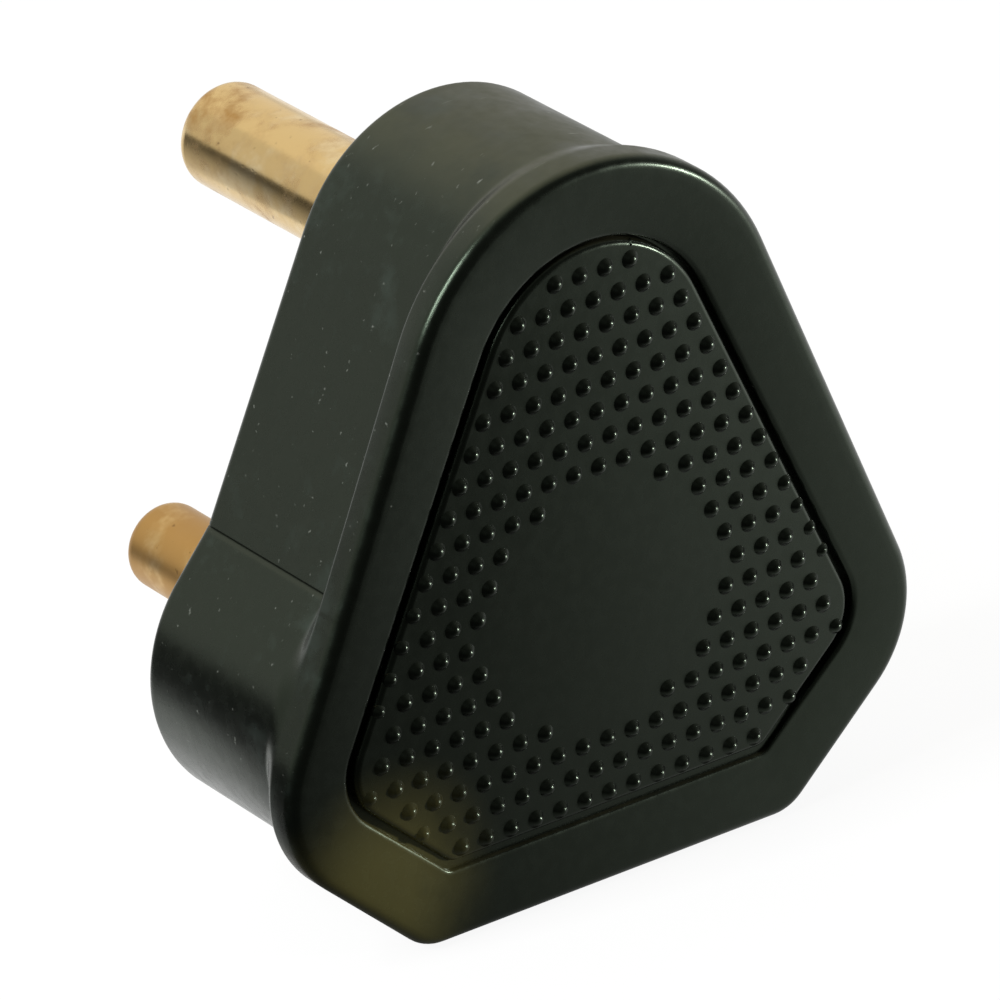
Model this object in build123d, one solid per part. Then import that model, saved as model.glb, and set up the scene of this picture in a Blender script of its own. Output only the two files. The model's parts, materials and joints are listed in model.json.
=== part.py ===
from build123d import *
from math import acos, atan2, ceil, cos, hypot, radians, sin, tan
import os

# A round-pin plug top in millimetres. It stands on its foot: +Z is up, the domed face looks
# along -Y, and the pins point along +Y. Depths are counted from the pin face towards the front.

# Pin layout
earth_axis_z = 45.9
earth_to_line = 28.6
line_spacing = 25.4

# Pins
earth_pin_r = 4.35
earth_pin_length = 28.6
line_pin_r = 3.53
line_pin_length = 21.0
pin_tip_round = 1.3
shank_step = 0.5
collar_step = 1.4
collar_thickness = 1.5
terminal_room = 0.5
wire_hole_r = 1.6
wire_hole_inset = 3.6
pin_clearance = 0.05

# Cover body: round apex, straight sides to the waist, a round lobe below each side
body_depth = 20.2
body_apex_r = 13.35
body_side_lean = 24.7
waist_z = 29.7
body_lobe_x = 15.6
body_lobe_z = 18.0
body_lobe_r = 12.55
chamfer_angle = 42.7
body_corner_r = 3.2
rear_edge_round = 0.7

# Rim round the front
rim_apex_drop = 3.6
rim_apex_r = 17.3
rim_lobe_x = 19.1
rim_lobe_z = 15.4
rim_lobe_r = 10.1
rim_corner_r = 4.0
rim_depth = 3.0
rim_ramp = 1.3
rim_front_round = 1.1
rim_land = 0.4

# Border: dished from the rim's land down to the groove, a soft slope with a narrow slot
border_dish = 0.3
border_apex_drop = 3.8
border_apex_r = 12.0
border_lobe_x = 18.5
border_lobe_z = 16.2
border_lobe_r = 6.05
border_foot_z = 4.95
border_corner_r = 2.2
border_slope_width = 0.8
border_slope_depth = 0.6
groove_depth = 1.3

# Raised panel
panel_apex_drop = 3.3
panel_apex_r = 10.5
panel_lobe_x = 18.4
panel_lobe_z = 16.35
panel_lobe_r = 4.7
panel_foot_z = 6.55
panel_corner_r = 1.4
panel_rise = 0.1
panel_edge = 0.35

# Domes on the panel, staggered like the holes of a pegboard
dome_pitch = 2.304
dome_row_pitch = 2.28
dome_r = 0.72
dome_top_r = 0.28
dome_height = 0.55
dome_sides = 6
least_dome = 0.55
blank_z = 23.6
blank_r = 10.5

# Inside of the cover
wall = 3.6
ledge = 1.4
inner_corner_r = 1.0
front_wall = 4.4
cord_hole_r = 4.0
pillar_r = 5.2
pillar_hole_clearance = 0.2

# Pin carrier
carrier_thickness = 5.0
carrier_clearance = 0.12
pin_boss_wall = 1.3
pin_boss_cap = 1.1
centre_boss_r = 4.2
centre_boss_height = 4.0
rib_height = 1.5
rib_width = 1.2
rib_length = 8.0
rib_spacing = 2.6

# Screws and nut
terminal_screw_r = 1.5
terminal_head_r = 2.5
terminal_head_height = 1.5
terminal_screw_length = 3.2
cover_screw_z = 28.0
cover_screw_r = 2.0
cover_head_r = 3.5
cover_head_height = 2.1
cover_head_recess = 0.4
cover_screw_length = 11.6
nut_across_flats = 7.0
nut_thickness = 3.2
screw_clearance = 0.05
screw_tip_room = 1.0
slot_width = 0.8
slot_share = 0.45
head_bevel_share = 0.3

# Cord clamp
clamp_z = 7.9
clamp_half_span = 8.6
clamp_post_r = 2.5
clamp_room = 0.9
clamp_bar_width = 5.0
clamp_bar_thickness = 1.8
clamp_rib_r = 0.9
clamp_screw_r = 1.4
clamp_head_r = 2.3
clamp_head_height = 1.5
clamp_screw_length = 6.0

# How far a cutting shape runs past the surface that it opens
cut_overrun = 1.0

# Places that follow from the sizes above
line_z = earth_axis_z - earth_to_line
border_edge = body_depth - border_dish
panel_surface = border_edge + panel_rise
front_reach = panel_surface + dome_height
pin_face_y = (front_reach - earth_pin_length) / 2
collar_seat = carrier_thickness
boss_top = collar_seat + collar_thickness + pin_boss_cap
cavity_depth = body_depth - front_wall
terminal_end = cavity_depth - terminal_room - terminal_head_height
cord_depth = carrier_thickness + rib_height + cord_hole_r
centre_boss_top = carrier_thickness + centre_boss_height
clamp_bar_top = cavity_depth - clamp_room - clamp_head_height
clamp_post_top = clamp_bar_top - clamp_bar_thickness
cover_screw_seat = cover_head_recess + cover_head_height
cover_screw_tip = cover_screw_seat + cover_screw_length
nut_depth = cover_screw_tip - nut_thickness

centred_from_base = (Align.CENTER, Align.CENTER, Align.MIN)


def station(depth):
    """Plane across the plug at a depth in front of the pin face; its normal looks forward."""
    return Plane(origin=(0, pin_face_y - depth, 0), x_dir=(1, 0, 0), z_dir=(0, -1, 0))


def polar(x, z, r, angle):
    return Vector(x + r * cos(angle), z + r * sin(angle))


def mirrored(point):
    return Vector(-point.X, point.Y)


class Outline:
    """Lobed outline of the plug: an apex circle, two lobe circles, chamfers and a flat foot.

    The sides leave the apex circle at the given lean and bend at the waist towards the lobes.
    Without a lean they run straight, touching both circles.
    """

    def __init__(self, apex_z, apex_r, lobe_x, lobe_z, lobe_r, foot_z, corner_r, lean=None):
        self.apex_z = apex_z
        self.apex_r = apex_r
        self.lobe_x = lobe_x
        self.lobe_z = lobe_z
        self.lobe_r = lobe_r
        self.foot_z = foot_z
        self.corner_r = corner_r
        self.lean = lean

    def inset(self, distance, corner_r):
        return Outline(self.apex_z, self.apex_r - distance, self.lobe_x, self.lobe_z,
                       self.lobe_r - distance, self.foot_z + distance, corner_r, self.lean)

    def side_angle(self):
        if self.lean is not None:
            return radians(self.lean)
        span = hypot(self.lobe_x, self.lobe_z - self.apex_z)
        heading = atan2(self.lobe_z - self.apex_z, self.lobe_x)
        return heading + acos((self.apex_r - self.lobe_r) / span)

    def right_side(self):
        """Points from the apex circle down the right side to the foot, with arc midpoints."""
        side = self.side_angle()
        side_top = polar(0, self.apex_z, self.apex_r, side)
        waist_drop = side_top.Y - waist_z
        waist = Vector(side_top.X + waist_drop * tan(side), waist_z)
        reach = hypot(waist.X - self.lobe_x, waist.Y - self.lobe_z)
        bearing = atan2(waist.Y - self.lobe_z, waist.X - self.lobe_x)
        lobe_start = bearing - acos(self.lobe_r / reach)
        lobe_end = radians(chamfer_angle - 90)
        lobe_top = polar(self.lobe_x, self.lobe_z, self.lobe_r, lobe_start)
        lobe_mid = polar(self.lobe_x, self.lobe_z, self.lobe_r, (lobe_start + lobe_end) / 2)
        chamfer_top = polar(self.lobe_x, self.lobe_z, self.lobe_r, lobe_end)
        run = (chamfer_top.Y - self.foot_z) / tan(radians(chamfer_angle))
        corner_x = chamfer_top.X - run
        setback = self.corner_r * tan(radians(chamfer_angle / 2))
        corner_start = polar(corner_x, self.foot_z, setback, radians(chamfer_angle))
        corner_end = Vector(corner_x - setback, self.foot_z)
        corner_mid = polar(corner_end.X, self.foot_z + self.corner_r, self.corner_r,
                           radians(chamfer_angle / 2 - 90))
        return (side_top, waist, lobe_top, lobe_mid, chamfer_top, corner_start, corner_mid,
                corner_end)

    def face(self):
        right = self.right_side()
        left = [mirrored(point) for point in right]
        edges = []
        for side in (right, left):
            side_top, waist, lobe_top, lobe_mid, chamfer_top, corner_start, corner_mid, end = side
            edges += [Line(side_top, waist),
                      Line(waist, lobe_top),
                      ThreePointArc(lobe_top, lobe_mid, chamfer_top),
                      Line(chamfer_top, corner_start),
                      ThreePointArc(corner_start, corner_mid, end)]
        edges.append(Line(right[-1], left[-1]))
        edges.append(ThreePointArc(right[0], Vector(0, self.apex_z + self.apex_r), left[0]))
        return make_face(edges)

    def room(self, x, z):
        """How far a point lies inside the outline's convex form."""
        x = abs(x)
        side = self.side_angle()
        chamfer = radians(chamfer_angle - 90)
        apex_angle = atan2(z - self.apex_z, x)
        lobe_angle = atan2(z - self.lobe_z, x - self.lobe_x)
        rooms = [self.apex_r + self.apex_z * sin(side) - x * cos(side) - z * sin(side),
                 self.lobe_r + (self.lobe_x - x) * cos(chamfer) + (self.lobe_z - z) * sin(chamfer),
                 z - self.foot_z]
        if apex_angle > side:
            rooms.append(self.apex_r - hypot(x, z - self.apex_z))
        if chamfer < lobe_angle < side:
            rooms.append(self.lobe_r - hypot(x - self.lobe_x, z - self.lobe_z))
        return min(rooms)


def slab(outline, depth, thickness):
    """Plate of the outline's shape, from a depth forwards."""
    return extrude(station(depth) * outline.face(), amount=thickness, dir=(0, -1, 0))


def taper(outline, depth, other, other_depth):
    """Ruled transition from one outline to another."""
    return loft([station(depth) * outline.face(), station(other_depth) * other.face()], ruled=True)


def rod(x, z, start, end, r):
    """Round bar along the plug's depth."""
    return station(start) * Pos(x, z, 0) * Cylinder(r, end - start, align=centred_from_base)


def upright_rod(x, depth, start, end, r):
    """Round bar standing upright."""
    return Pos(x, pin_face_y - depth, start) * Cylinder(r, end - start, align=centred_from_base)


def screw(x, z, seat, facing, shank_r, shank_length, head_r, head_height):
    """Slotted screw; its head lies on the seat and faces forwards (1) or back (-1)."""
    head_end = seat + facing * head_height
    head = rod(x, z, min(seat, head_end), max(seat, head_end), head_r)
    crown = head.faces().sort_by(Axis.Y)[-1 if facing < 0 else 0]
    head = chamfer(crown.edges(), head_height * head_bevel_share)
    shank_end = seat - facing * shank_length
    shank = rod(x, z, min(seat, shank_end), max(seat, shank_end), shank_r)
    slot_depth = head_height * slot_share
    slot = station(head_end) * Pos(x, z, 0) * Box(2 * (head_r + cut_overrun), slot_width, 2 * slot_depth)
    return head + shank - slot


def pin(x, z, r, length):
    """Solid turned pin with its collar and the cross-drilled, tapped terminal end."""
    bar = rod(x, z, -length, terminal_end, r)
    tip = bar.edges().filter_by(GeomType.CIRCLE).sort_by(Axis.Y)[-1]
    bar = fillet(tip, pin_tip_round)
    bar += rod(x, z, 0, collar_seat, r + shank_step)
    bar += rod(x, z, collar_seat, collar_seat + collar_thickness, r + collar_step)
    wire_depth = terminal_end - wire_hole_inset
    bar -= upright_rod(x, wire_depth, z - r - cut_overrun, z + r + cut_overrun, wire_hole_r)
    bar -= rod(x, z, wire_depth, terminal_end, terminal_screw_r + screw_clearance)
    return bar


def terminal_screw(x, z):
    return screw(x, z, terminal_end, 1, terminal_screw_r, terminal_screw_length,
                 terminal_head_r, terminal_head_height)


body = Outline(earth_axis_z, body_apex_r, body_lobe_x, body_lobe_z, body_lobe_r, 0,
               body_corner_r, body_side_lean)
rim = Outline(earth_axis_z - rim_apex_drop, rim_apex_r, rim_lobe_x, rim_lobe_z, rim_lobe_r, 0,
              rim_corner_r)
dish = rim.inset(rim_front_round + rim_land, rim_corner_r - rim_front_round - rim_land)
border = Outline(earth_axis_z - border_apex_drop, border_apex_r, border_lobe_x, border_lobe_z,
                 border_lobe_r, border_foot_z, border_corner_r)
slope_foot = border.inset(border_slope_width, border_corner_r - border_slope_width)
panel = Outline(earth_axis_z - panel_apex_drop, panel_apex_r, panel_lobe_x, panel_lobe_z,
                panel_lobe_r, panel_foot_z, panel_corner_r)
panel_top = panel.inset(panel_edge, panel_corner_r - panel_edge)
carrier_seat = body.inset(wall, inner_corner_r)
cavity = body.inset(wall + ledge, inner_corner_r)

pins = {"earth": (0, earth_axis_z, earth_pin_r, earth_pin_length),
        "live": (-line_spacing / 2, line_z, line_pin_r, line_pin_length),
        "neutral": (line_spacing / 2, line_z, line_pin_r, line_pin_length)}


def dome_places():
    """Centres and scales of the domes: staggered rows round the blank, smaller at the edge."""
    rows_above = ceil((panel.apex_z + panel.apex_r - blank_z) / dome_row_pitch)
    rows_below = ceil((blank_z - panel.foot_z) / dome_row_pitch)
    half_columns = ceil((panel.lobe_x + panel.lobe_r) / (dome_pitch / 2))
    for row in range(-rows_below, rows_above + 1):
        for column in range(-half_columns, half_columns + 1):
            x = column * dome_pitch / 2
            z = blank_z + row * dome_row_pitch
            scale = min(1, panel_top.room(x, z) / dome_r)
            staggered = (row + column) % 2 == 1
            if staggered and scale > least_dome and hypot(x, z - blank_z) > blank_r:
                yield x, z, scale


def panel_domes():
    """Low blunt domes with flat facets."""
    domes = []
    for x, z, scale in dome_places():
        foot = RegularPolygon(scale * dome_r, dome_sides)
        top = RegularPolygon(scale * dome_top_r, dome_sides)
        tip = panel_surface + scale * dome_height
        domes.append(loft([station(panel_surface) * Pos(x, z, 0) * foot,
                           station(tip) * Pos(x, z, 0) * top], ruled=True))
    return domes


def rubber_cover():
    rim_back = body_depth - rim_depth
    shell = slab(body, 0, rim_back - rim_ramp)
    rear_face = shell.faces().sort_by(Axis.Y)[-1]
    shell = fillet(rear_face.edges(), rear_edge_round)
    rim_plate = slab(rim, rim_back, rim_depth)
    front_face = rim_plate.faces().sort_by(Axis.Y)[0]
    rim_plate = fillet(front_face.edges(), rim_front_round)
    shell += taper(body, rim_back - rim_ramp, rim, rim_back)
    shell += rim_plate

    slope_end = border_edge - border_slope_depth
    groove_floor = border_edge - groove_depth
    panel_shoulder = panel_surface - panel_edge
    shell -= taper(border, border_edge, dish, body_depth)
    shell -= taper(slope_foot, slope_end, border, border_edge)
    shell -= slab(slope_foot, groove_floor, slope_end - groove_floor)
    shell += slab(panel, groove_floor, panel_shoulder - groove_floor)
    shell += taper(panel, panel_shoulder, panel_top, panel_surface)

    shell -= slab(carrier_seat, 0, carrier_thickness)
    shell -= slab(cavity, carrier_thickness, cavity_depth - carrier_thickness)
    shell += rod(0, cover_screw_z, centre_boss_top, cavity_depth, pillar_r)
    hole_r = cover_screw_r + pillar_hole_clearance
    shell -= rod(0, cover_screw_z, centre_boss_top, cover_screw_tip + screw_tip_room, hole_r)
    shell -= nut_blank()
    shell -= upright_rod(0, cord_depth, 0, cavity.foot_z, cord_hole_r)
    return shell + panel_domes()


def nut_blank():
    hexagon = RegularPolygon(nut_across_flats / 2, 6, major_radius=False)
    return extrude(station(nut_depth) * Pos(0, cover_screw_z, 0) * hexagon,
                   amount=nut_thickness, dir=(0, -1, 0))


def cover_nut():
    return nut_blank() - rod(0, cover_screw_z, nut_depth, nut_depth + nut_thickness,
                             cover_screw_r + screw_clearance)


def pin_carrier():
    plate = slab(body.inset(wall + carrier_clearance, inner_corner_r), 0, carrier_thickness)
    for x, z, r, length in pins.values():
        plate += rod(x, z, carrier_thickness, boss_top, r + collar_step + pin_boss_wall)
    plate += rod(0, cover_screw_z, carrier_thickness, centre_boss_top, centre_boss_r)
    for side in (-1, 1):
        plate += rod(side * clamp_half_span, clamp_z, carrier_thickness, clamp_post_top, clamp_post_r)
        rib_z = clamp_z + side * rib_spacing / 2
        plate += station(carrier_thickness) * Pos(0, rib_z, 0) * Box(
            rib_length, rib_width, rib_height, align=centred_from_base)
    for x, z, r, length in pins.values():
        plate -= rod(x, z, 0, boss_top, r + pin_clearance)
        plate -= rod(x, z, 0, collar_seat, r + shank_step + pin_clearance)
        plate -= rod(x, z, collar_seat, collar_seat + collar_thickness, r + collar_step + pin_clearance)
    plate -= rod(0, cover_screw_z, 0, cover_screw_seat, cover_head_r + pin_clearance)
    plate -= rod(0, cover_screw_z, 0, centre_boss_top, cover_screw_r + screw_clearance)
    for side in (-1, 1):
        hole_end = clamp_bar_top - clamp_screw_length - screw_tip_room
        plate -= rod(side * clamp_half_span, clamp_z, hole_end, clamp_post_top,
                     clamp_screw_r + screw_clearance)
    return plate


def cord_clamp_bar():
    flat = SlotCenterToCenter(2 * clamp_half_span, clamp_bar_width)
    bar = extrude(station(clamp_post_top) * Pos(0, clamp_z, 0) * flat,
                  amount=clamp_bar_thickness, dir=(0, -1, 0))
    ridge = Pos(0, pin_face_y - clamp_post_top, clamp_z) * Rot(0, 90, 0) * Cylinder(
        clamp_rib_r, rib_length)
    bar += ridge
    for side in (-1, 1):
        bar -= rod(side * clamp_half_span, clamp_z, clamp_post_top, clamp_bar_top,
                   clamp_screw_r + screw_clearance)
    return bar


def clamp_screw(side):
    return screw(side * clamp_half_span, clamp_z, clamp_bar_top, 1, clamp_screw_r,
                 clamp_screw_length, clamp_head_r, clamp_head_height)


pieces = {"rubber_cover": rubber_cover(),
          "pin_carrier": pin_carrier(),
          "cord_clamp_bar": cord_clamp_bar(),
          "cord_clamp_screw_left": clamp_screw(-1),
          "cord_clamp_screw_right": clamp_screw(1),
          "cover_nut": cover_nut(),
          "cover_screw": screw(0, cover_screw_z, cover_screw_seat, -1, cover_screw_r,
                               cover_screw_length, cover_head_r, cover_head_height)}
for name, (x, z, r, length) in pins.items():
    pieces[name + "_pin"] = pin(x, z, r, length)
    pieces[name + "_terminal_screw"] = terminal_screw(x, z)

os.makedirs("parts", exist_ok=True)
for name, shape in pieces.items():
    export_step(shape, "parts/" + name + ".step")
    print(name, round(shape.volume, 2))
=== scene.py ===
import json
from math import acos, atan2, cos, hypot, pi, radians, sin, tan

import bmesh
import bpy
from mathutils import Matrix, Vector
from mathutils.geometry import delaunay_2d_cdt


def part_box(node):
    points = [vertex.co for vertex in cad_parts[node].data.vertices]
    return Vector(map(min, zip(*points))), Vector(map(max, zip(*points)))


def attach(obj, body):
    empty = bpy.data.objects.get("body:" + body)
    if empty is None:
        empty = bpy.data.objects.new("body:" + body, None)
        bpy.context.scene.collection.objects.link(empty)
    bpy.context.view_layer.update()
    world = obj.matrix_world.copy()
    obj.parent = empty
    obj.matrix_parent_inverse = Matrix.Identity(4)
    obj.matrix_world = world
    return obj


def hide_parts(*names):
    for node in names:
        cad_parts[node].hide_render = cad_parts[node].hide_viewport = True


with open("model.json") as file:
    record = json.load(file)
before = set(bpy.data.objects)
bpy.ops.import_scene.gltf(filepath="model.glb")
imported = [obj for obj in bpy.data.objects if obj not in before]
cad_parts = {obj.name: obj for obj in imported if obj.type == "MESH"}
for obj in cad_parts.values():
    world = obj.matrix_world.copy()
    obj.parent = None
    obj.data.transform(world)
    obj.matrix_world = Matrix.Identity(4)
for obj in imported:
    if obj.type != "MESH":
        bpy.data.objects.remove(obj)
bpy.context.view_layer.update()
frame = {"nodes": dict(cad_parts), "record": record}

mm = 0.001
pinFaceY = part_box("pin_carrier")[1].y  # the pin face is the carrier's rear face
earthAxisZ = (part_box("earth_pin")[0].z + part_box("earth_pin")[1].z) / 2 / mm
print("frame loaded, pin face at y", round(pinFaceY / mm, 3), "mm")


def fromHex(code):
    # sRGB hex to linear RGBA
    parts = [int(code[i:i + 2], 16) / 255 for i in (1, 3, 5)]
    return [c / 12.92 if c < 0.04045 else ((c + 0.055) / 1.055) ** 2.4 for c in parts] + [1]


def addNode(tree, kind, settings=None, links=None):
    # settings: attribute or input name to value; links: input name to (node, output)
    node = tree.nodes.new(kind)
    for name, value in (settings or {}).items():
        if isinstance(name, str) and hasattr(node, name):
            setattr(node, name, value)
        else:
            node.inputs[name].default_value = value
    for name, (source, output) in (links or {}).items():
        tree.links.new(source.outputs[output], node.inputs[name])
    return node


# millimetres and degrees; an outline is an apex circle, two lobe circles, chamfers and a flat foot
coverShape = {
    "bodyDepth": 20.2, "chamferAngle": 42.7, "waistZ": 29.7, "creaseWidth": 0.3,
    "body": dict(apexZ=earthAxisZ, apexR=13.35, lobeX=15.6, lobeZ=18.0, lobeR=12.55,
                 footZ=0.0, cornerR=3.2, lean=24.7, crease=0.11),
    "rim": dict(apexZ=earthAxisZ - 3.6, apexR=17.3, lobeX=19.1, lobeZ=15.4, lobeR=10.1,
                footZ=0.0, cornerR=4.0),
    "border": dict(apexZ=earthAxisZ - 3.8, apexR=11.7, lobeX=18.5, lobeZ=16.2, lobeR=5.75,
                   footZ=5.25, cornerR=1.9),
    "panel": dict(apexZ=earthAxisZ - 3.3, apexR=10.5, lobeX=18.4, lobeZ=16.35, lobeR=4.7,
                  footZ=6.55, cornerR=1.4),
    "rearRound": 0.7, "rearSteps": 6, "mouthBevel": 0.15,
    "rimDepth": 3.0, "ramp": 1.3, "rampLead": 0.3, "rampTail": 0.4, "rampSteps": 14,
    "frontRound": 0.95, "frontSteps": 10, "land": 0.55,
    "dish": 0.3, "dishEdge": (0.4, 0.04),
    "slopeWidth": 0.5, "slopeDepth": 0.4, "slopeFoot": 0.15, "slopeSteps": 7,
    "grooveDepth": 1.3, "grooveLean": 0.05, "grooveFadeZ": (7.5, 16.0),
    "panelRise": 0.1, "panelEdgeRound": 0.5, "panelEdgeSteps": 8,
    "hold": 0.1,  # a flat face keeps its own shading up to this far from a round edge
    "wall": 3.6, "ledge": 1.4, "innerCorner": 1.0, "frontWall": 4.4, "carrierDepth": 5.0,
    "cordDepth": 10.5, "cordR": 4.0, "cordSides": 48,
    "pillarZ": 28.0, "pillarR": 5.2, "pillarHoleR": 2.2, "pillarSides": 40,
    "pillarStart": 9.0, "pillarHoleEnd": 15.1,
    # a thread of flash over the panel's edge, where the mould's insert was split
    "flashTurn": 20.6, "flashWidth": 0.3, "flashHeight": 0.14, "flashSunk": 0.05,
    "flashStart": 20, "flashSweep": 70, "flashSteps": 7,
}

domePattern = {
    "pitch": 2.304, "rowPitch": 2.28, "blankZ": 23.6, "blankR": 10.5,
    "height": 0.55, "footR": 0.75, "sides": 20,
    # nearer to the panel's edge than edgeRoom the domes came out smaller
    "leastRoom": -0.05, "edgeRoom": 0.5, "edgeScale": 0.78,
    # share of the foot's radius and of the height, from below the surface to the crown
    "profile": [(1.02, -0.7), (1.0, 0.0), (0.9, 0.151), (0.8, 0.303), (0.7, 0.454), (0.59, 0.62),
                (0.5, 0.75), (0.386, 0.855), (0.264, 0.935), (0.134, 0.982)],
}

# points along half an outline: the apex arc, the side down to the waist, the waist down to the
# chamfer, the chamfer, the corner arc and half of the foot; two more stand in the crease
stretchPoints = (22, 12, 44, 6, 7, 9)
creasePoints = 2


def inset(shape, distance, cornerR=None):
    smaller = dict(shape)
    smaller["apexR"] -= distance
    smaller["lobeR"] -= distance
    smaller["footZ"] += distance
    smaller["cornerR"] = max(0.3, shape["cornerR"] - distance) if cornerR is None else cornerR
    return smaller


def sideAngle(shape):
    if "lean" in shape:
        return radians(shape["lean"])
    rise = shape["lobeZ"] - shape["apexZ"]
    span = hypot(shape["lobeX"], rise)
    return atan2(rise, shape["lobeX"]) + acos((shape["apexR"] - shape["lobeR"]) / span)


def arcPoints(x, z, r, start, end, count):
    turns = [start + (end - start) * i / count for i in range(count)]
    return [(x + r * cos(turn), z + r * sin(turn)) for turn in turns]


def circleLoop(x, z, r, count):
    return arcPoints(x, z, r, 0, 2 * pi, count)


def linePoints(a, b, count):
    return [(a[0] + (b[0] - a[0]) * i / count, a[1] + (b[1] - a[1]) * i / count)
            for i in range(count)]


def outlineLoop(shape):
    # closed loop of (x, z), from the apex down one side, along the foot and up the other
    side = sideAngle(shape)
    waistZ = coverShape["waistZ"]
    chamfer = radians(coverShape["chamferAngle"])
    sideTop = (shape["apexR"] * cos(side), shape["apexZ"] + shape["apexR"] * sin(side))
    waist = (sideTop[0] + (sideTop[1] - waistZ) * tan(side), waistZ)
    reach = hypot(waist[0] - shape["lobeX"], waist[1] - shape["lobeZ"])
    bearing = atan2(waist[1] - shape["lobeZ"], waist[0] - shape["lobeX"])
    lobeStart = bearing - acos(min(1.0, shape["lobeR"] / reach))
    lobeEnd = chamfer - pi / 2
    lobeTop = (shape["lobeX"] + shape["lobeR"] * cos(lobeStart),
               shape["lobeZ"] + shape["lobeR"] * sin(lobeStart))
    # a fine crease where the side meets the lobe
    half = coverShape["creaseWidth"] / 2
    bend = lobeStart + pi / 2
    before = (waist[0] - half * sin(side), waist[1] + half * cos(side))
    after = (waist[0] - half * cos(bend), waist[1] - half * sin(bend))
    depth = shape.get("crease", 0)
    crease = (waist[0] - depth * cos(side), waist[1] - depth * sin(side))
    chamferTop = (shape["lobeX"] + shape["lobeR"] * cos(lobeEnd),
                  shape["lobeZ"] + shape["lobeR"] * sin(lobeEnd))
    cornerX = chamferTop[0] - (chamferTop[1] - shape["footZ"]) / tan(chamfer)
    setback = shape["cornerR"] * tan(chamfer / 2)
    cornerStart = (cornerX + setback * cos(chamfer), shape["footZ"] + setback * sin(chamfer))
    cornerEnd = (cornerX - setback, shape["footZ"])
    apexCount, sideCount, lobeCount, chamferCount, cornerCount, footCount = stretchPoints
    right = arcPoints(0, shape["apexZ"], shape["apexR"], pi / 2, side, apexCount)
    right += linePoints(sideTop, before, sideCount)
    right += [before, crease]
    # even steps of height, so that the rings of a wide and a narrow outline stay level
    for i in range(lobeCount):
        z = after[1] + (chamferTop[1] - after[1]) * i / lobeCount
        if z > lobeTop[1]:
            share = (after[1] - z) / (after[1] - lobeTop[1])
            right.append((after[0] + (lobeTop[0] - after[0]) * share, z))
        else:
            rise = z - shape["lobeZ"]
            right.append((shape["lobeX"] + (shape["lobeR"] ** 2 - rise ** 2) ** 0.5, z))
    right += linePoints(chamferTop, cornerStart, chamferCount)
    right += arcPoints(cornerEnd[0], shape["footZ"] + shape["cornerR"], shape["cornerR"],
                       chamfer - pi / 2, -pi / 2, cornerCount)
    right += linePoints(cornerEnd, (0, shape["footZ"]), footCount)
    left = [(-x, z) for x, z in reversed(right[1:])]
    return right + [(0, shape["footZ"])] + left


def roomInside(shape, x, z):
    # how far a point lies inside the outline
    x = abs(x)
    side = sideAngle(shape)
    chamfer = radians(coverShape["chamferAngle"] - 90)
    found = [z - shape["footZ"]]
    for angle, r, centre in ((side, shape["apexR"], (0, shape["apexZ"])),
                             (chamfer, shape["lobeR"], (shape["lobeX"], shape["lobeZ"]))):
        found.append(r - (x - centre[0]) * cos(angle) - (z - centre[1]) * sin(angle))
    if atan2(z - shape["apexZ"], x) > side:
        found.append(shape["apexR"] - hypot(x, z - shape["apexZ"]))
    if chamfer < atan2(z - shape["lobeZ"], x - shape["lobeX"]) < side:
        found.append(shape["lobeR"] - hypot(x - shape["lobeX"], z - shape["lobeZ"]))
    return min(found)


def place(x, z, depth):
    # a point across the plug, at a depth in front of the pin face; millimetres to metres
    return Vector((x * mm, pinFaceY - depth * mm, z * mm))


def ring(mesh, points, depth):
    # depth: one for the whole loop, or a function of the point
    return [mesh.verts.new(place(x, z, depth(x, z) if callable(depth) else depth))
            for x, z in points]


def bridge(mesh, first, second, skip=()):
    count = len(first)
    for i in range(count):
        if i not in skip:
            j = (i + 1) % count
            mesh.faces.new((first[i], first[j], second[j], second[i]))


def insideLoop(point, loop):
    inside = False
    for i, a in enumerate(loop):
        b = loop[i - 1]
        if (a.y > point.y) != (b.y > point.y):
            if point.x < (b.x - a.x) * (point.y - a.y) / (b.y - a.y) + a.x:
                inside = not inside
    return inside


def fillFlat(mesh, outer, holes, flatten):
    # plane face between an outer loop and round holes, as constrained triangles
    verts = [v for loop in [outer] + holes for v in loop]
    edges = []
    for loop in [outer] + holes:
        start = len(edges)
        edges += [(start + i, start + (i + 1) % len(loop)) for i in range(len(loop))]
    triangles = delaunay_2d_cdt([flatten(v.co) for v in verts], edges, [], 1, 1e-7)
    flatHoles = [[flatten(v.co) for v in loop] for loop in holes]
    for face in triangles[2]:
        corners = [verts[triangles[3][i][0]] for i in face]
        middle = sum((flatten(v.co) for v in corners), Vector((0, 0))) / len(corners)
        if not any(insideLoop(middle, flat) for flat in flatHoles):
            mesh.faces.new(corners)


def finishMesh(name, mesh, sharpAngle=32):
    bmesh.ops.recalc_face_normals(mesh, faces=mesh.faces)
    for face in mesh.faces:
        face.smooth = True
    for edge in mesh.edges:
        if len(edge.link_faces) == 2 and edge.calc_face_angle(0) > radians(sharpAngle):
            edge.smooth = False
    data = bpy.data.meshes.new(name)
    mesh.to_mesh(data)
    mesh.free()
    piece = bpy.data.objects.new(name, data)
    bpy.context.scene.collection.objects.link(piece)
    return piece


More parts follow.
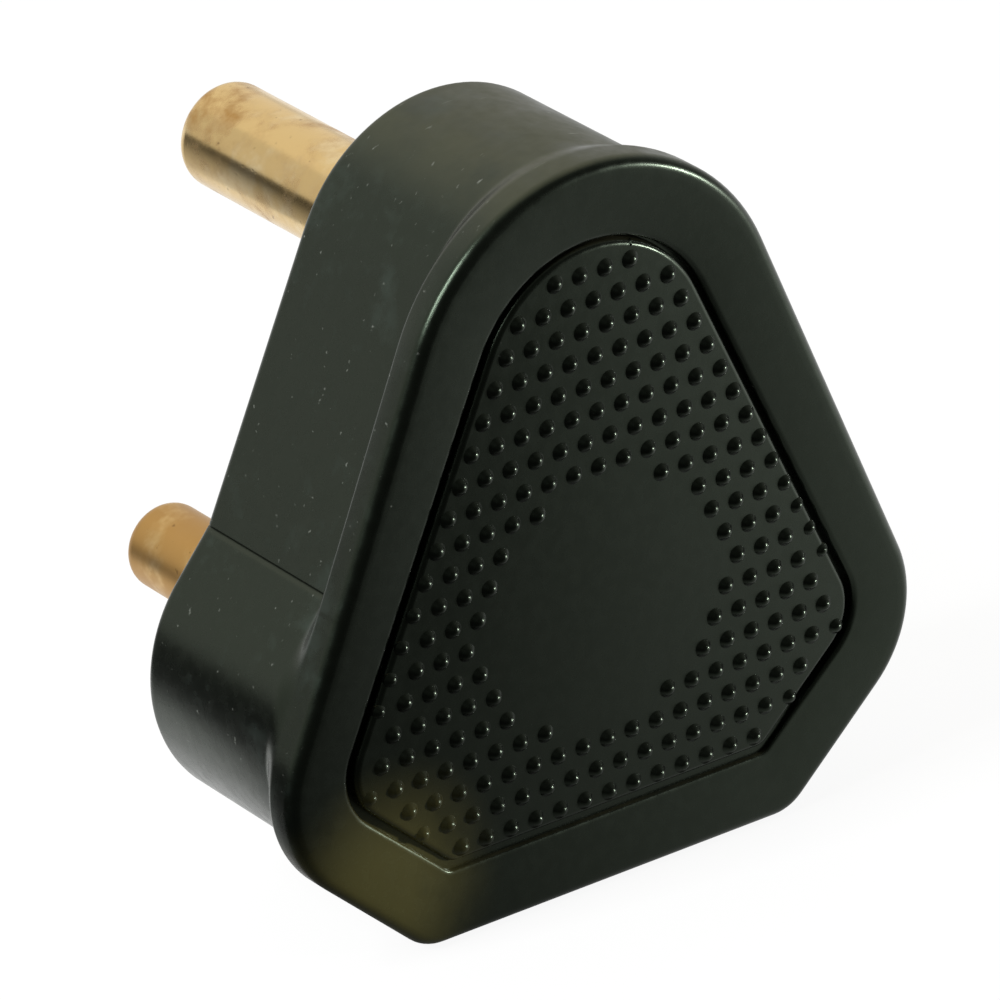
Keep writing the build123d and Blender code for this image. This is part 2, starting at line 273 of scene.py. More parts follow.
def domeCentres(top):
    pattern = domePattern
    rowsAbove = int((top["apexZ"] + top["apexR"] - pattern["blankZ"]) / pattern["rowPitch"]) + 1
    rowsBelow = int((pattern["blankZ"] - top["footZ"]) / pattern["rowPitch"]) + 1
    columns = int((top["lobeX"] + top["lobeR"]) / (pattern["pitch"] / 2)) + 1
    least = pattern["edgeScale"]
    for row in range(-rowsBelow, rowsAbove + 1):
        for column in range(-columns, columns + 1):
            x = column * pattern["pitch"] / 2
            z = pattern["blankZ"] + row * pattern["rowPitch"]
            clear = hypot(x, z - pattern["blankZ"]) > pattern["blankR"]
            room = roomInside(top, x, z)
            if (row + column) % 2 == 1 and clear and room > pattern["leastRoom"]:
                yield x, z, min(1, least + (1 - least) * room / pattern["edgeRoom"])


def addDome(mesh, x, z, scale, depth):
    # one round dome, its skirt sunk a little into the panel
    pattern = domePattern
    rings = [ring(mesh, circleLoop(x, z, scale * pattern["footR"] * share, pattern["sides"]),
                  depth + scale * pattern["height"] * rise)
             for share, rise in pattern["profile"]]
    for low, high in zip(rings, rings[1:]):
        bridge(mesh, low, high)
    crown = mesh.verts.new(place(x, z, depth + scale * pattern["height"]))
    for i, v in enumerate(rings[-1]):
        mesh.faces.new((v, rings[-1][(i + 1) % len(rings[-1])], crown))


def addFlash(mesh, panel, top):
    # the thread runs over the rounded edge near the apex, from the wall onto the panel
    c = coverShape
    r, steps, sunk = c["panelEdgeRound"], c["flashSteps"], c["flashSunk"]
    swing = radians(c["flashTurn"])
    outward, across = Vector((sin(swing), cos(swing))), Vector((cos(swing), -sin(swing)))
    centre = Vector((0, panel["apexZ"]))
    rows = []
    for i in range(steps + 1):
        turn = radians(c["flashStart"] + c["flashSweep"] * i / steps)
        crest = c["flashHeight"] * min(1, (steps - i) / 2)
        row = []
        for side, rise in ((-0.5, -sunk), (0, crest), (0.5, -sunk)):
            reach = panel["apexR"] - r + (r + rise) * cos(turn)
            spot = centre + outward * reach + across * side * c["flashWidth"]
            row.append(mesh.verts.new(place(spot.x, spot.y, top - r + (r + rise) * sin(turn))))
        rows.append(row)
    for low, high in zip(rows, rows[1:]):
        for i in range(2):
            mesh.faces.new((low[i], low[i + 1], high[i + 1], high[i]))


def quarterTurns(steps):
    return [pi / 2 * i / steps for i in range(steps + 1)]


def buildCover():
    c = coverShape
    hold = c["hold"]
    front = c["bodyDepth"]
    body, rim, border, panel = c["body"], c["rim"], c["border"], c["panel"]
    bodyLoop, rimLoop = outlineLoop(body), outlineLoop(rim)
    seat = inset(body, c["wall"], c["innerCorner"])
    mouth = inset(seat, -c["mouthBevel"], c["innerCorner"] + c["mouthBevel"])
    cavity = inset(body, c["wall"] + c["ledge"], c["innerCorner"])
    cavityDepth = front - c["frontWall"]
    mesh = bmesh.new()

    # each row is a loop and its depth, from the cavity's end out and round to the panel's face
    profile = [(outlineLoop(cavity), cavityDepth), (outlineLoop(cavity), c["carrierDepth"]),
               (outlineLoop(seat), c["carrierDepth"]), (outlineLoop(seat), c["mouthBevel"]),
               (outlineLoop(mouth), 0.0)]
    r = c["rearRound"]
    profile.append((outlineLoop(inset(body, r + hold)), 0.0))
    for turn in quarterTurns(c["rearSteps"]):
        profile.append((outlineLoop(inset(body, r * (1 - sin(turn)))), r * (1 - cos(turn))))

    # soft step out to the rim, then the rim's side
    rampStart = front - c["rimDepth"] - c["ramp"] - c["rampLead"]
    profile.append((bodyLoop, r + 3 * hold))
    profile.append((bodyLoop, rampStart - 2 * hold))
    for i in range(c["rampSteps"] + 1):
        s = i / c["rampSteps"]
        share = s * s * (3 - 2 * s)
        loop = [(a[0] + (b[0] - a[0]) * share, a[1] + (b[1] - a[1]) * share)
                for a, b in zip(bodyLoop, rimLoop)]
        profile.append((loop, rampStart + (c["rampLead"] + c["ramp"] + c["rampTail"]) * s))
    r = c["frontRound"]
    profile.append((rimLoop, front - r - hold))
    for turn in quarterTurns(c["frontSteps"]):
        profile.append((outlineLoop(inset(rim, r * (1 - cos(turn)))), front - r * (1 - sin(turn))))
    profile.append((outlineLoop(inset(rim, r + c["land"])), front))

    # the dished border, its soft edge and the narrow slot
    edge = front - c["dish"]
    lean = c["grooveLean"]

    def fade(z):
        # the groove is deep round the top and sides, and runs out at the foot
        low, high = c["grooveFadeZ"]
        return min(1, max(0, (z - low) / (high - low)))

    def slopeAt(share):
        return lambda x, z: edge - share * (c["slopeFoot"] + (c["slopeDepth"] - c["slopeFoot"]) * fade(z))

    def grooveFloor(x, z):
        shallow = c["slopeDepth"] + lean
        return edge - shallow - (c["grooveDepth"] - shallow) * fade(z)

    profile.append((outlineLoop(inset(border, -c["dishEdge"][0])), edge + c["dishEdge"][1]))
    for turn in quarterTurns(c["slopeSteps"]):
        profile.append((outlineLoop(inset(border, c["slopeWidth"] * sin(turn))),
                        slopeAt(1 - cos(turn))))
    profile.append((outlineLoop(inset(border, c["slopeWidth"] + lean)), grooveFloor))

    # the panel's wall and its rounded edge
    profile.append((outlineLoop(inset(panel, -lean)), grooveFloor))
    top = edge + c["panelRise"]
    r = c["panelEdgeRound"]
    for turn in quarterTurns(c["panelEdgeSteps"]):
        profile.append((outlineLoop(inset(panel, r * (1 - cos(turn)))), top - r * (1 - sin(turn))))

    rings = [ring(mesh, loop, depth) for loop, depth in profile]
    half = sum(stretchPoints) + creasePoints
    footCount = stretchPoints[-1]
    footSegments = set(range(half - footCount, half + footCount))
    outerWall = next(i for i, row in enumerate(profile) if row[0] is bodyLoop) + 1
    for i, (low, high) in enumerate(zip(rings, rings[1:])):
        bridge(mesh, low, high, footSegments if i in (0, outerWall) else ())

    # the cord hole runs down from the cavity; the foot's own face still closes its outer end
    holeLoops = []
    for first, second, z in ((rings[0], rings[1], cavity["footZ"]),
                             (rings[outerWall], rings[outerWall + 1], 0.0)):
        footLoop = [first[i] for i in range(half - footCount, half + footCount + 1)]
        footLoop += [second[i] for i in range(half + footCount, half - footCount - 1, -1)]
        hole = [mesh.verts.new(place(x, z, depth))
                for x, depth in circleLoop(0, c["cordDepth"], c["cordR"], c["cordSides"])]
        fillFlat(mesh, footLoop, [hole], lambda co: Vector((co.x, co.y)) / mm)
        holeLoops.append(hole)
    bridge(mesh, holeLoops[0], holeLoops[1])

    # front wall inside, with the screw pillar
    pillar = circleLoop(0, c["pillarZ"], c["pillarR"], c["pillarSides"])
    pillarFoot = ring(mesh, pillar, cavityDepth)
    fillFlat(mesh, rings[0], [pillarFoot], lambda co: Vector((co.x, co.z)) / mm)
    pillarEnd = ring(mesh, pillar, c["pillarStart"])
    bridge(mesh, pillarFoot, pillarEnd)
    hole = circleLoop(0, c["pillarZ"], c["pillarHoleR"], c["pillarSides"])
    holeMouth = ring(mesh, hole, c["pillarStart"])
    bridge(mesh, pillarEnd, holeMouth)
    holeEnd = ring(mesh, hole, c["pillarHoleEnd"])
    bridge(mesh, holeMouth, holeEnd)
    mesh.faces.new(holeEnd)

    # the panel's face, its domes and the thread of flash
    fillFlat(mesh, rings[-1], [], lambda co: Vector((co.x, co.z)) / mm)
    domes = list(domeCentres(inset(panel, r)))
    for x, z, scale in domes:
        addDome(mesh, x, z, scale, top - 0.5 * (1 - scale) * domePattern["height"])
    addFlash(mesh, panel, top)
    print("rubber cover built,", len(domes), "domes,", len(mesh.faces), "faces")
    return finishMesh("rubber_cover_moulding", mesh)


def newMaterial(name):
    # an empty material, with the place on the object that its patterns are drawn from
    material = bpy.data.materials.new(name)
    material.use_nodes = True
    tree = material.node_tree
    tree.nodes.clear()
    coordinates = addNode(tree, "ShaderNodeTexCoord")
    return material, tree, coordinates


def addPatches(tree, where, size, low, high, detail):
    # soft patches of a size in millimetres: none where the noise is low, full where it is high
    cloud = addNode(tree, "ShaderNodeTexNoise",
                    {"Scale": 1000 / size, "Detail": detail, "Roughness": 0.6}, {"Vector": where})
    patches = addNode(tree, "ShaderNodeMapRange",
                      {"interpolation_type": "SMOOTHSTEP", "From Min": low, "From Max": high},
                      {"Value": (cloud, "Fac")})
    return patches, 0


def addCoat(tree, below, colour, amount, first, second):
    # a coat over the colour or coat below: it lies where both masks do, and shows by its amount
    both = addNode(tree, "ShaderNodeMath", {"operation": "MULTIPLY"}, {0: first, 1: second})
    lies = addNode(tree, "ShaderNodeMath", {"operation": "MULTIPLY", 1: amount}, {0: (both, 0)})
    settings = {"data_type": "RGBA", 7: fromHex(colour)}
    links = {0: (lies, 0)}
    if isinstance(below, str):
        settings[6] = fromHex(below)
    else:
        links[6] = (below, 2)
    return addNode(tree, "ShaderNodeMix", settings, links), (lies, 0)


def mouldedRubber():
    # black nitrile rubber from a polished steel mould: a deep black with a wet-looking narrow gloss,
    # a grey bloom and handling dust on the walls, paler dust and a painted sheen on top, pale specks
    # and fine scuffs, a painted olive reflection low on the border and painted shade in the crease
    look = {
        "colour": "#0a0c09", "bloom": "#262d29", "dustAndSheen": "#383626", "speck": "#8a8d84",
        "paintedReflection": "#58532d", "crease": "#020302", "tint": "#dcf5d3",
        "ior": 1.52, "specular": 0.5, "roughness": (0.21, 0.32), "bloomDulls": 0.06,
        "dustAndSheenDulls": 0.25,
        # size in millimetres, noise where a patch starts and where it is full, detail
        "bloomPatch": (9.0, 0.53, 0.68, 6.0), "streakPatch": (2.2, 0.56, 0.74, 5.0),
        "dustAndSheenPatch": (5.0, 0.1, 0.65, 4.0), "paintedReflectionPatch": (7.0, 0.1, 0.6, 4.0),
        # how strongly each coat shows
        "bloomShows": 0.8, "streakShows": 0.3, "dustAndSheenShows": 0.95, "paintedReflectionShows": 1.0,
        "scuffShows": 0.6, "speckShows": 0.55, "creaseShadeShows": 0.9,
        # how far a surface faces the front or rear, and how far it faces up
        "wallFacing": (0.75, 0.3), "topFacing": (0.72, 1.0),
        "paintedReflectionPlace": (-21.0, -24.2, 6.5), "paintedReflectionReach": (2.0, 11.5), "creaseShadeReach": (0.05, 0.28),
        "speckGap": 3.6, "speckSize": 0.11, "speckCells": 0.55,
        "scuffTurn": (0.4, 0.5, 0.9), "scuffLevel": (0.71, 0.8),
        "scuffsPerMetre": (90, 1900, 1900),  # marks about 11 mm long and 0.5 mm apart
        "mottle": 1.1, "peel": 2.4, "peelBump": (0.25, 0.05),
        # mould grain is about 0.05 mm, drawn coarser so that it shows
        "grain": 0.3, "grainBump": (0.14, 0.02),
    }
    material, tree, coordinates = newMaterial("moulded nitrile rubber")
    where = (coordinates, "Object")
    facing = addNode(tree, "ShaderNodeSeparateXYZ", links={0: (coordinates, "Normal")})
    spot = addNode(tree, "ShaderNodeSeparateXYZ", links={0: where})
    turned = addNode(tree, "ShaderNodeMath", {"operation": "ABSOLUTE"}, {0: (facing, "Y")})
    walls = addNode(tree, "ShaderNodeMapRange",
                    {"interpolation_type": "SMOOTHSTEP", "From Min": look["wallFacing"][0],
                     "From Max": look["wallFacing"][1]}, {"Value": (turned, 0)})
    upward = addNode(tree, "ShaderNodeMapRange",
                     {"interpolation_type": "SMOOTHSTEP", "From Min": look["topFacing"][0],
                      "From Max": look["topFacing"][1]}, {"Value": (facing, "Z")})
    colour, hazy = addCoat(tree, look["colour"], look["bloom"], look["bloomShows"],
                           addPatches(tree, where, *look["bloomPatch"]), (walls, 0))
    colour, _ = addCoat(tree, colour, look["bloom"], look["streakShows"],
                        addPatches(tree, where, *look["streakPatch"]), (walls, 0))
    # paler on upward faces, in patches: dust, and a painted sheen
    colour, dustAndSheenMask = addCoat(tree, colour, look["dustAndSheen"], look["dustAndSheenShows"], (upward, 0),
                              addPatches(tree, where, *look["dustAndSheenPatch"]))

    # a painted olive reflection, in patches, over the foot of the border on the left
    away = addNode(tree, "ShaderNodeVectorMath",
                   {"operation": "DISTANCE", 1: [v * mm for v in look["paintedReflectionPlace"]]}, {0: where})
    near = addNode(tree, "ShaderNodeMapRange",
                   {"interpolation_type": "SMOOTHSTEP", "From Min": look["paintedReflectionReach"][1] * mm,
                    "From Max": look["paintedReflectionReach"][0] * mm}, {"Value": (away, "Value")})
    colour, _ = addCoat(tree, colour, look["paintedReflection"], look["paintedReflectionShows"], (near, 0),
                        addPatches(tree, where, *look["paintedReflectionPatch"]))

    # scuffs: long thin marks, most of them along the walls
    stretch = addNode(tree, "ShaderNodeMapping",
                      {"Rotation": look["scuffTurn"], "Scale": look["scuffsPerMetre"]},
                      {"Vector": where})
    marks = addNode(tree, "ShaderNodeTexNoise", {"Scale": 1.0, "Detail": 2.0},
                    {"Vector": (stretch, 0)})
    thin = addNode(tree, "ShaderNodeMapRange",
                   {"From Min": look["scuffLevel"][0], "From Max": look["scuffLevel"][1]},
                   {"Value": (marks, "Fac")})
    colour, _ = addCoat(tree, colour, look["speck"], look["scuffShows"], (thin, 0), (walls, 0))

    # pale specks, in some cells of a coarse grid only
    cells = addNode(tree, "ShaderNodeTexVoronoi", {"Scale": 1000 / look["speckGap"]},
                    {"Vector": where})
    dot = addNode(tree, "ShaderNodeMapRange",
                  {"From Min": look["speckSize"] / look["speckGap"],
                   "From Max": 0.4 * look["speckSize"] / look["speckGap"]},
                  {"Value": (cells, "Distance")})
    chosen = addNode(tree, "ShaderNodeSeparateXYZ", links={0: (cells, "Color")})
    some = addNode(tree, "ShaderNodeMath", {"operation": "GREATER_THAN", 1: look["speckCells"]},
                   {0: (chosen, "X")})
    colour, _ = addCoat(tree, colour, look["speck"], look["speckShows"], (dot, 0), (some, 0))

    # painted shade in the crease at the waist
    above = addNode(tree, "ShaderNodeMath",
                    {"operation": "SUBTRACT", 1: coverShape["waistZ"] * mm}, {0: (spot, "Z")})
    off = addNode(tree, "ShaderNodeMath", {"operation": "ABSOLUTE"}, {0: (above, 0)})
    line = addNode(tree, "ShaderNodeMapRange",
                   {"interpolation_type": "SMOOTHSTEP", "From Min": look["creaseShadeReach"][1] * mm,
                    "From Max": look["creaseShadeReach"][0] * mm}, {"Value": (off, 0)})
    colour, _ = addCoat(tree, colour, look["crease"], look["creaseShadeShows"], (line, 0), (walls, 0))

    # places with dust and painted sheen are duller, and the gloss itself is uneven
    mottle = addNode(tree, "ShaderNodeTexNoise", {"Scale": 1000 / look["mottle"], "Detail": 3.0},
                     {"Vector": where})
    gloss = addNode(tree, "ShaderNodeMapRange",
                    {"From Min": 0.2, "From Max": 0.8, "To Min": look["roughness"][0],
                     "To Max": look["roughness"][1]}, {"Value": (mottle, "Fac")})
    dull = addNode(tree, "ShaderNodeMath", {"operation": "MULTIPLY_ADD", 1: look["bloomDulls"]},
                   {0: hazy, 2: (gloss, 0)})
    duller = addNode(tree, "ShaderNodeMath", {"operation": "MULTIPLY_ADD", 1: look["dustAndSheenDulls"]},
                     {0: dustAndSheenMask, 2: (dull, 0)})
    peel = addNode(tree, "ShaderNodeTexNoise", {"Scale": 1000 / look["peel"], "Detail": 2.0},
                   {"Vector": where})
    wavy = addNode(tree, "ShaderNodeBump",
                   {"Strength": look["peelBump"][0], "Distance": look["peelBump"][1] * mm},
                   {"Height": (peel, "Fac")})
    grain = addNode(tree, "ShaderNodeTexNoise", {"Scale": 1000 / look["grain"], "Detail": 2.0},
                    {"Vector": where})
    bump = addNode(tree, "ShaderNodeBump",
                   {"Strength": look["grainBump"][0], "Distance": look["grainBump"][1] * mm},
                   {"Height": (grain, "Fac"), "Normal": (wavy, 0)})
    shader = addNode(tree, "ShaderNodeBsdfPrincipled",
                     {"IOR": look["ior"], "Specular IOR Level": look["specular"],
                      "Specular Tint": fromHex(look["tint"])},
                     {"Normal": (bump, 0), "Roughness": (duller, 0), "Base Color": (colour, 2)})
    addNode(tree, "ShaderNodeOutputMaterial", links={"Surface": (shader, 0)})
    return material


def turnedBrass():
    # free-cutting brass bar turned on a lathe, long in use: pale yellow, fine rings round the pin,
    # brown tarnish in patches with small pits, duller where it is tarnished
    look = {
        "colour": "#dfc188", "worn": "#e9d4a8", "tarnish": "#b58b4e", "spot": "#7a5a33",
        "roughness": 0.2, "tarnishDulls": 0.22,
        # size in millimetres, noise where a patch starts and where it is full, detail
        "tarnishPatch": (6.0, 0.4, 0.66, 6.0), "wornPatch": (3.2, 0.4, 0.66, 5.0),
        "pitPatch": (0.9, 0.66, 0.76, 2.0), "brownPatch": (5.0, 0.2, 0.5, 4.0),
        "wornShows": 0.7, "brownShows": 0.9, "pitShows": 0.6,
        "brownerZ": (25.0, 38.0),  # the two lower pins are browner than the earth pin
        "rings": 0.22, "ringBump": (0.12, 0.006), "pitBump": (0.4, 0.02),
    }
    material, tree, coordinates = newMaterial("turned brass")
    where = (coordinates, "Object")
    patch = addPatches(tree, where, *look["tarnishPatch"])
    worn = addPatches(tree, where, *look["wornPatch"])
    pits = addPatches(tree, where, *look["pitPatch"])
    spot = addNode(tree, "ShaderNodeSeparateXYZ", links={0: where})
    lower = addNode(tree, "ShaderNodeMapRange",
                    {"From Min": look["brownerZ"][1] * mm, "From Max": look["brownerZ"][0] * mm,
                     "To Max": look["brownShows"]}, {"Value": (spot, "Z")})
    brown = addNode(tree, "ShaderNodeMath", {"operation": "MULTIPLY"}, {0: patch, 1: worn})
    browner = addNode(tree, "ShaderNodeMath", {"operation": "MULTIPLY"},
                      {0: (lower, 0), 1: addPatches(tree, where, *look["brownPatch"])})
    tarnished = addNode(tree, "ShaderNodeMath", {"operation": "MAXIMUM"},
                        {0: (brown, 0), 1: (browner, 0)})
    colour, _ = addCoat(tree, look["colour"], look["worn"], look["wornShows"], worn, worn)
    colour = addNode(tree, "ShaderNodeMix", {"data_type": "RGBA", 7: fromHex(look["tarnish"])},
                     {0: (tarnished, 0), 6: (colour, 2)})
    colour, _ = addCoat(tree, colour, look["spot"], look["pitShows"], pits, pits)
    along = addNode(tree, "ShaderNodeCombineXYZ", links={"Y": (spot, "Y")})
    rings = addNode(tree, "ShaderNodeTexNoise", {"Scale": 1000 / look["rings"], "Detail": 3.0},
                    {"Vector": (along, 0)})
    ringBump = addNode(tree, "ShaderNodeBump",
                       {"Strength": look["ringBump"][0], "Distance": look["ringBump"][1] * mm},
                       {"Height": (rings, "Fac")})
    pitBump = addNode(tree, "ShaderNodeBump",
                      {"Strength": look["pitBump"][0], "Distance": look["pitBump"][1] * mm,
                       "invert": True}, {"Height": pits, "Normal": (ringBump, 0)})
    dull = addNode(tree, "ShaderNodeMath",
                   {"operation": "MULTIPLY_ADD", 1: look["tarnishDulls"], 2: look["roughness"]},
                   {0: (tarnished, 0)})
    shader = addNode(tree, "ShaderNodeBsdfPrincipled", {"Metallic": 1.0},
                     {"Normal": (pitBump, 0), "Roughness": (dull, 0), "Base Color": (colour, 2)})
    addNode(tree, "ShaderNodeOutputMaterial", links={"Surface": (shader, 0)})
    return material


def phenolicMoulding():
    # black phenolic pressed in a polished mould: hard and slightly glossy, with faint flow marks,
    # a brown cast where the filler shows, and fine scratches from the wall socket
    look = {
        "colour": "#191817", "flow": "#2b2723", "scratch": "#57534c", "ior": 1.6,
        "roughness": (0.28, 0.42), "flowPatch": (7.0, 0.35, 0.75, 6.0), "flowShows": 0.8,
        "scratchTurn": (0.2, 0.7, 0.3), "scratchLevel": (0.7, 0.78), "scratchShows": 0.6,
        "scratchesPerMetre": (120, 900, 2600),  # scratches about 8 mm long and 0.4 to 1 mm apart
        "grain": 0.4, "grainBump": (0.1, 0.02),
    }
    material, tree, coordinates = newMaterial("phenolic moulding")
    where = (coordinates, "Object")
    flow = addPatches(tree, where, *look["flowPatch"])
    colour, _ = addCoat(tree, look["colour"], look["flow"], look["flowShows"], flow, flow)
    stretch = addNode(tree, "ShaderNodeMapping",
                      {"Rotation": look["scratchTurn"], "Scale": look["scratchesPerMetre"]},
                      {"Vector": where})
    marks = addNode(tree, "ShaderNodeTexNoise", {"Scale": 1.0, "Detail": 2.0},
                    {"Vector": (stretch, 0)})
    thin = addNode(tree, "ShaderNodeMapRange",
                   {"From Min": look["scratchLevel"][0], "From Max": look["scratchLevel"][1],
                    "To Max": look["scratchShows"]}, {"Value": (marks, "Fac")})
    colour = addNode(tree, "ShaderNodeMix", {"data_type": "RGBA", 7: fromHex(look["scratch"])},
                     {0: (thin, 0), 6: (colour, 2)})
    gloss = addNode(tree, "ShaderNodeMapRange",
                    {"To Min": look["roughness"][0], "To Max": look["roughness"][1]},
                    {"Value": flow})
    grain = addNode(tree, "ShaderNodeTexNoise", {"Scale": 1000 / look["grain"], "Detail": 2.0},
                    {"Vector": where})
    bump = addNode(tree, "ShaderNodeBump",
                   {"Strength": look["grainBump"][0], "Distance": look["grainBump"][1] * mm},
                   {"Height": (grain, "Fac")})
    shader = addNode(tree, "ShaderNodeBsdfPrincipled", {"IOR": look["ior"]},
                     {"Base Color": (colour, 2), "Roughness": (gloss, 0), "Normal": (bump, 0)})
    addNode(tree, "ShaderNodeOutputMaterial", links={"Surface": (shader, 0)})
    return material


def zincPlatedSteel():
    # steel screws with bright zinc plating: bluish grey, in soft spangles, dulled by handling
    look = {
        "colour": "#bfc2c3", "dull": "#8d8f8c", "roughness": (0.26, 0.46), "spangle": 0.8,
        "dullPatch": (1.6, 0.3, 0.7, 4.0), "dullShows": 0.8, "bump": (0.15, 0.01),
    }
    material, tree, coordinates = newMaterial("zinc plated steel")
    where = (coordinates, "Object")
    cells = addNode(tree, "ShaderNodeTexVoronoi", {"Scale": 1000 / look["spangle"]},
                    {"Vector": where})
    tone = addNode(tree, "ShaderNodeSeparateXYZ", links={0: (cells, "Color")})
    handled = addPatches(tree, where, *look["dullPatch"])
    colour, _ = addCoat(tree, look["colour"], look["dull"], look["dullShows"], handled, (tone, "X"))
    gloss = addNode(tree, "ShaderNodeMapRange",
                    {"To Min": look["roughness"][0], "To Max": look["roughness"][1]},
                    {"Value": (tone, "Y")})
    bump = addNode(tree, "ShaderNodeBump",
                   {"Strength": look["bump"][0], "Distance": look["bump"][1] * mm},
                   {"Height": handled})
    shader = addNode(tree, "ShaderNodeBsdfPrincipled", {"Metallic": 1.0},
                     {"Base Color": (colour, 2), "Roughness": (gloss, 0), "Normal": (bump, 0)})
    addNode(tree, "ShaderNodeOutputMaterial", links={"Surface": (shader, 0)})
    return material


def nylonMoulding():
    # natural nylon, moulded: a creamy, even colour gone yellow in places, with a fine mould grain
    look = {
        "colour": "#c2bba8", "aged": "#a3977c", "ior": 1.53, "roughness": (0.4, 0.55),
        "agedPatch": (4.0, 0.3, 0.75, 4.0), "agedShows": 0.8, "grain": 0.25, "grainBump": (0.2, 0.02),
    }
    material, tree, coordinates = newMaterial("nylon moulding")
    where = (coordinates, "Object")
    aged = addPatches(tree, where, *look["agedPatch"])
    colour, _ = addCoat(tree, look["colour"], look["aged"], look["agedShows"], aged, aged)
    gloss = addNode(tree, "ShaderNodeMapRange",
                    {"To Min": look["roughness"][0], "To Max": look["roughness"][1]},
                    {"Value": aged})
    grain = addNode(tree, "ShaderNodeTexNoise", {"Scale": 1000 / look["grain"], "Detail": 2.0},
                    {"Vector": where})
    bump = addNode(tree, "ShaderNodeBump",
                   {"Strength": look["grainBump"][0], "Distance": look["grainBump"][1] * mm},
                   {"Height": (grain, "Fac")})
    shader = addNode(tree, "ShaderNodeBsdfPrincipled", {"IOR": look["ior"]},
                     {"Base Color": (colour, 2), "Roughness": (gloss, 0), "Normal": (bump, 0)})
    addNode(tree, "ShaderNodeOutputMaterial", links={"Surface": (shader, 0)})
    return material


def dress():
    finishes = {"brass": turnedBrass(), "carrier": phenolicMoulding(),
                "zinc_steel": zincPlatedSteel(), "clamp_plastic": nylonMoulding()}
    for part in frame["record"]["subparts"]:
        if part["node"] != "rubber_cover":
            for materialSlot in frame["nodes"][part["node"]].material_slots:
                materialSlot.material = finishes[part["material_slot"]]
    print("pins, carrier and small parts dressed")
    cover = buildCover()
    cover.data.materials.append(mouldedRubber())
    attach(cover, "root")
    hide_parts("rubber_cover")


studio = {
    "floorSize": 12.0, "floorZ": -0.0002, "paper": "#5c5c5a", "paperLight": 0.92,
    # what the object's gloss sees of the paper: shaded in front on the left, open on the right
    "paperAxis": (0.87, 0.5, 0), "shadeStart": -52.0, "shadeEnd": 65.0,
    "shadeLight": 0.03, "openLight": 1.0,
    # the paper close round the object shines back into its lower sides
    "nearSpot": (-2.0, 32.0, 0.0), "nearReach": (42.0, 52.0),
    # the room is brighter behind the object than in front of it
    "room": "#fffdf8", "roomAxis": (0.1, 0.95, 0.3), "roomTurn": (-0.35, 0.7),
    "frontLight": 0.05, "backLight": 0.72,
    "middle": (0, -0.01, 0.03),
    # direction from the middle, distance, width and height in metres, power, colour
    "lamps": {
        "key": ((-0.74, 0.04, 0.66), 0.9, 0.12, 0.5, 5.5, "#f6f9ff"),
        "window": ((-0.75, -0.17, 0.64), 0.9, 0.1, 0.4, 1.6, "#f6f9ff"),
        "side": ((0.787, -0.615, 0.06), 0.9, 0.08, 0.08, 5.0, "#ffffff"),
        "back": ((0.35, 0.75, 0.55), 1.0, 1.6, 0.9, 1.0, "#fff4e4"),
    },
}


def layPaper():
    mesh = bmesh.new()
    bmesh.ops.create_grid(mesh, x_segments=1, y_segments=1, size=studio["floorSize"])
    data = bpy.data.meshes.new("floor")
    mesh.to_mesh(data)
    mesh.free()
    floor = bpy.data.objects.new("floor", data)
    bpy.context.scene.collection.objects.link(floor)
    floor.location.z = studio["floorZ"]
    material = bpy.data.materials.new("white paper sweep")
    material.use_nodes = True
    tree = material.node_tree
    tree.nodes.clear()
    paths = addNode(tree, "ShaderNodeLightPath")
    where = addNode(tree, "ShaderNodeNewGeometry")
    along = addNode(tree, "ShaderNodeVectorMath",
                    {"operation": "DOT_PRODUCT", 1: studio["paperAxis"]}, {0: (where, "Position")})
    level = addNode(tree, "ShaderNodeMapRange",
                    {"interpolation_type": "SMOOTHSTEP", "From Min": studio["shadeStart"] * mm,
                     "From Max": studio["shadeEnd"] * mm, "To Min": studio["shadeLight"],
                     "To Max": studio["openLight"]}, {"Value": (along, "Value")})
    away = addNode(tree, "ShaderNodeVectorMath",
                   {"operation": "DISTANCE", 1: [v * mm for v in studio["nearSpot"]]},
                   {0: (where, "Position")})
    near = addNode(tree, "ShaderNodeMapRange",
                   {"interpolation_type": "SMOOTHSTEP", "From Min": studio["nearReach"][1] * mm,
                    "From Max": studio["nearReach"][0] * mm}, {"Value": (away, "Value")})
    brighter = addNode(tree, "ShaderNodeMath", {"operation": "MAXIMUM"},
                       {0: (level, 0), 1: (near, 0)})
    # for all rays but the camera's the paper is a glow, with painted shade in front on the left and a
    # painted pool of light close round the object
    bounce = addNode(tree, "ShaderNodeEmission", {"Color": (1, 1, 1, 1)},
                     {"Strength": (brighter, 0)})
    glow = addNode(tree, "ShaderNodeEmission",
                   {"Color": (1, 1, 1, 1), "Strength": studio["paperLight"]})
    paper = addNode(tree, "ShaderNodeBsdfDiffuse", {"Color": fromHex(studio["paper"])})
    seen = addNode(tree, "ShaderNodeAddShader", links={0: (glow, 0), 1: (paper, 0)})
    both = addNode(tree, "ShaderNodeMixShader",
                   links={0: (paths, "Is Camera Ray"), 1: (bounce, 0), 2: (seen, 0)})
    addNode(tree, "ShaderNodeOutputMaterial", links={"Surface": (both, 0)})
    data.materials.append(material)
    print("paper laid")


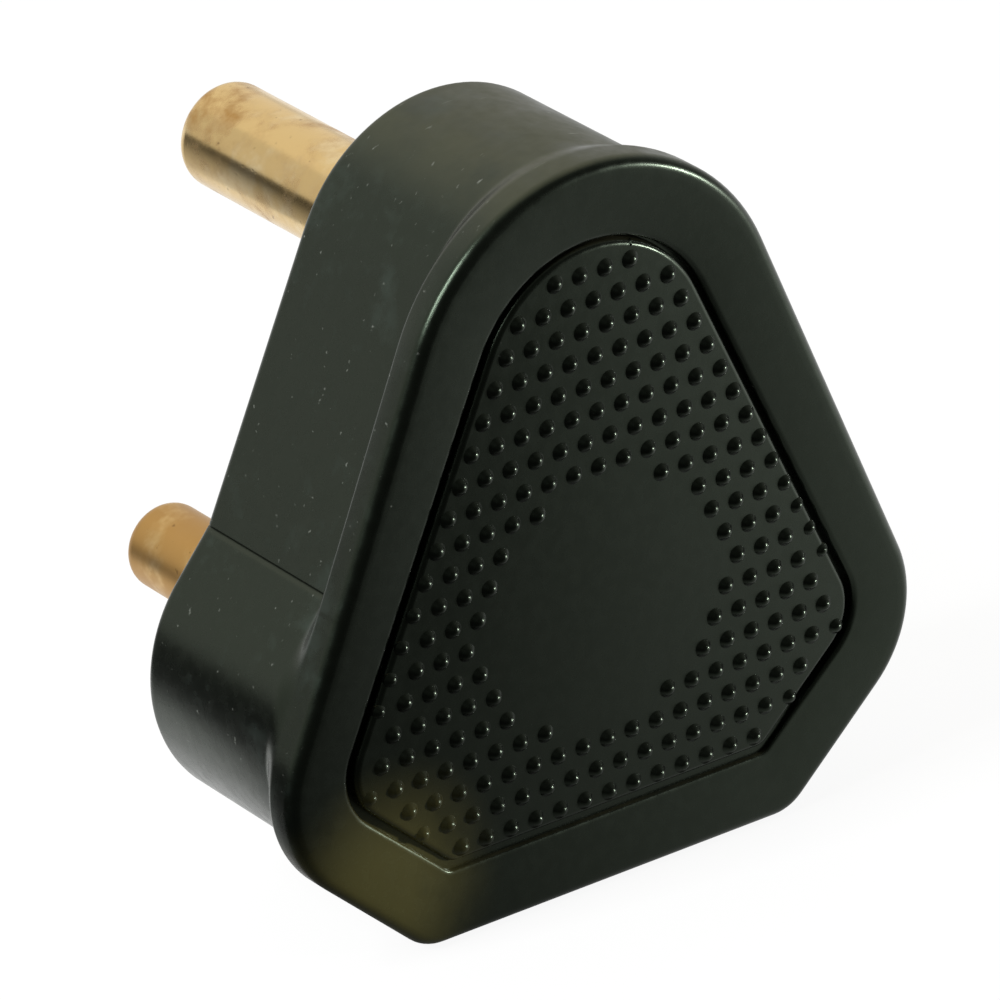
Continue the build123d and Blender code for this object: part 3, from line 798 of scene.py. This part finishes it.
def lightRoom():
    # white where the camera looks past the paper
    world = bpy.data.worlds.new("studio")
    bpy.context.scene.world = world
    world.use_nodes = True
    tree = world.node_tree
    tree.nodes.clear()
    paths = addNode(tree, "ShaderNodeLightPath")
    where = addNode(tree, "ShaderNodeTexCoord")
    along = addNode(tree, "ShaderNodeVectorMath",
                    {"operation": "DOT_PRODUCT", 1: studio["roomAxis"]}, {0: (where, "Generated")})
    level = addNode(tree, "ShaderNodeMapRange",
                    {"interpolation_type": "SMOOTHSTEP", "From Min": studio["roomTurn"][0],
                     "From Max": studio["roomTurn"][1], "To Min": studio["frontLight"],
                     "To Max": studio["backLight"]}, {"Value": (along, "Value")})
    room = addNode(tree, "ShaderNodeBackground", {"Color": fromHex(studio["room"])},
                   {"Strength": (level, 0)})
    white = addNode(tree, "ShaderNodeBackground", {"Color": (1, 1, 1, 1), "Strength": 1.0})
    both = addNode(tree, "ShaderNodeMixShader",
                   links={0: (paths, "Is Camera Ray"), 1: (room, 0), 2: (white, 0)})
    addNode(tree, "ShaderNodeOutputWorld", links={"Surface": (both, 0)})

    middle = Vector(studio["middle"])
    for name, (way, distance, width, height, power, colour) in studio["lamps"].items():
        light = bpy.data.lights.new(name, "AREA")
        light.shape = "RECTANGLE"
        light.size, light.size_y = width, height
        light.energy = power
        light.color = fromHex(colour)[:3]
        lamp = bpy.data.objects.new(name, light)
        lamp.location = middle + Vector(way).normalized() * distance
        lamp.rotation_euler = (middle - lamp.location).to_track_quat("-Z", "Y").to_euler()
        bpy.context.scene.collection.objects.link(lamp)
    print("room and", len(studio["lamps"]), "lamps set up")


def placeCamera():
    # matched to the photograph from the pins, the face's pattern and the outline
    shot = {"spot": (-0.3676, pinFaceY - 0.526935, 0.34047), "lens": 337.07, "sensor": 36,
            "nearest": 0.01, "right": (0.8062, -0.5906, -0.0341),
            "down": (-0.2857, -0.3381, -0.8967)}
    camera = bpy.data.objects.new("camera", bpy.data.cameras.new("camera"))
    bpy.context.scene.collection.objects.link(camera)
    bpy.context.scene.camera = camera
    camera.data.sensor_width = shot["sensor"]
    camera.data.lens = shot["lens"]
    camera.data.clip_start = shot["nearest"]
    right, down = Vector(shot["right"]), Vector(shot["down"])
    axes = Matrix((right, -down, -right.cross(down))).transposed()
    camera.matrix_world = Matrix.Translation(Vector(shot["spot"])) @ axes.to_4x4()
    print("camera placed")


dress()
layPaper()
lightRoom()
placeCamera()
bpy.context.scene.view_settings.view_transform = "Standard"
